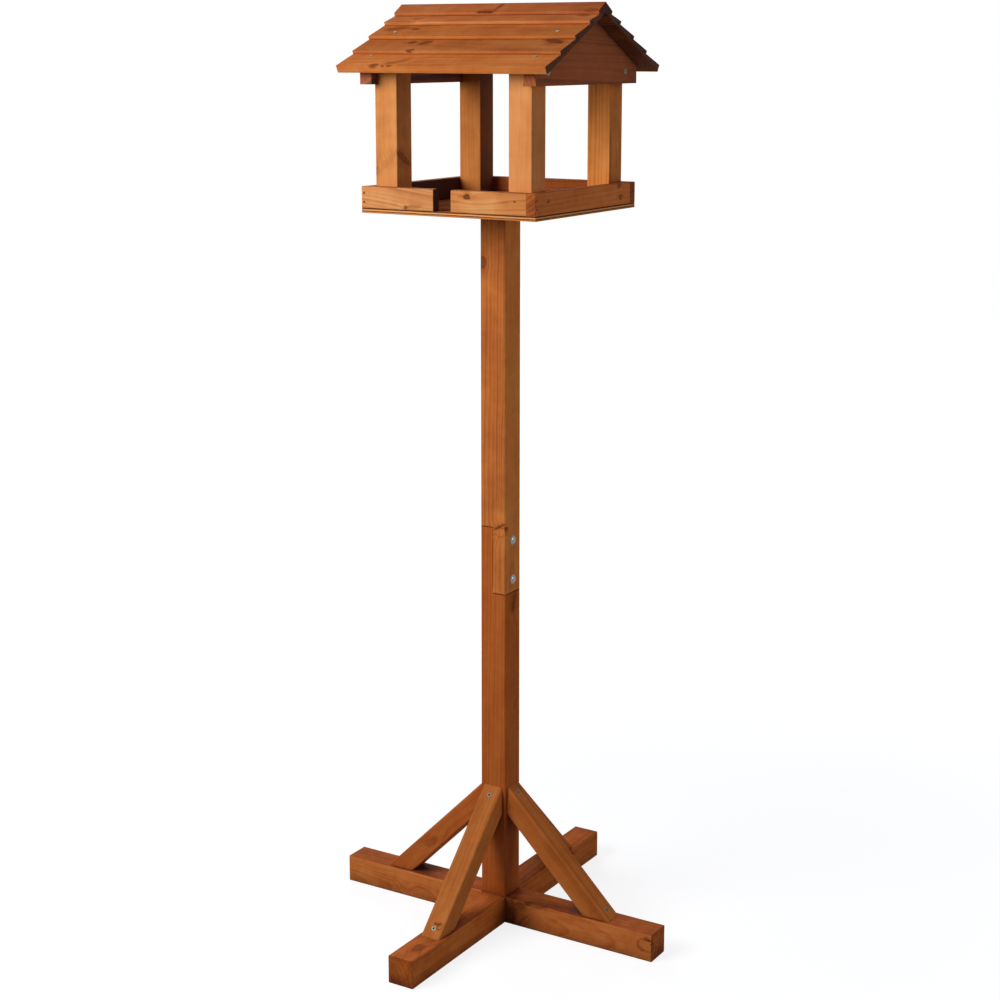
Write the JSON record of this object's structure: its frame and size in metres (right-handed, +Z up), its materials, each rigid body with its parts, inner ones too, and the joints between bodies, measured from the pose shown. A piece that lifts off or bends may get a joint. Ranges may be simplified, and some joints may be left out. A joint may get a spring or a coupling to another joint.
{
  "type": "bird table on pole",
  "caption": "Free-standing wooden bird table: braced cross base, bolted two-length pole, railed plywood tray, corner posts and a gabled roof of lapped weatherboards.",
  "frame": {"origin": "on the ground under the pole's axis, at the centre of the cross base", "axes": "+Z up the pole, +X to the right along the roof's ridge, -Y towards the front, where the tray's rail is open"},
  "size_m": [0.564, 0.564, 1.4251],
  "materials": {
    "stained_timber": "satin",
    "roof_boards": "satin",
    "plywood": "satin",
    "zinc_fasteners": "bright zinc",
    "galvanised_nails": "dull galvanised"
  },
  "bodies": {
    "root": {"base_rail_lower": "stained_timber", "base_rail_upper": "stained_timber", "brace_front": "stained_timber", "brace_back": "stained_timber", "brace_left": "stained_timber", "brace_right": "stained_timber", "pole_lower": "stained_timber", "pole_upper": "stained_timber", "tray_rail_front_left": "stained_timber", "tray_rail_front_right": "stained_timber", "tray_rail_right": "stained_timber", "tray_rail_back": "stained_timber", "tray_rail_left": "stained_timber", "post_front_left": "stained_timber", "post_front_right": "stained_timber", "post_back_left": "stained_timber", "post_back_right": "stained_timber", "gable_left": "stained_timber", "gable_right": "stained_timber", "roof_board_front_1": "roof_boards", "roof_board_front_2": "roof_boards", "roof_board_front_3": "roof_boards", "roof_board_front_4": "roof_boards", "roof_board_front_5": "roof_boards", "roof_board_back_1": "roof_boards", "roof_board_back_2": "roof_boards", "roof_board_back_3": "roof_boards", "roof_board_back_4": "roof_boards", "roof_board_back_5": "roof_boards", "tray_floor": "plywood", "pole_bolts": "zinc_fasteners", "pole_bolt_washers": "zinc_fasteners", "pole_bolt_nuts": "zinc_fasteners", "brace_screws": "zinc_fasteners", "base_screw": "zinc_fasteners", "pole_top_screws": "zinc_fasteners", "floor_screws": "zinc_fasteners", "gable_screws": "zinc_fasteners", "rail_nails": "galvanised_nails", "roof_nails": "galvanised_nails"}
  },
  "joints": []
}
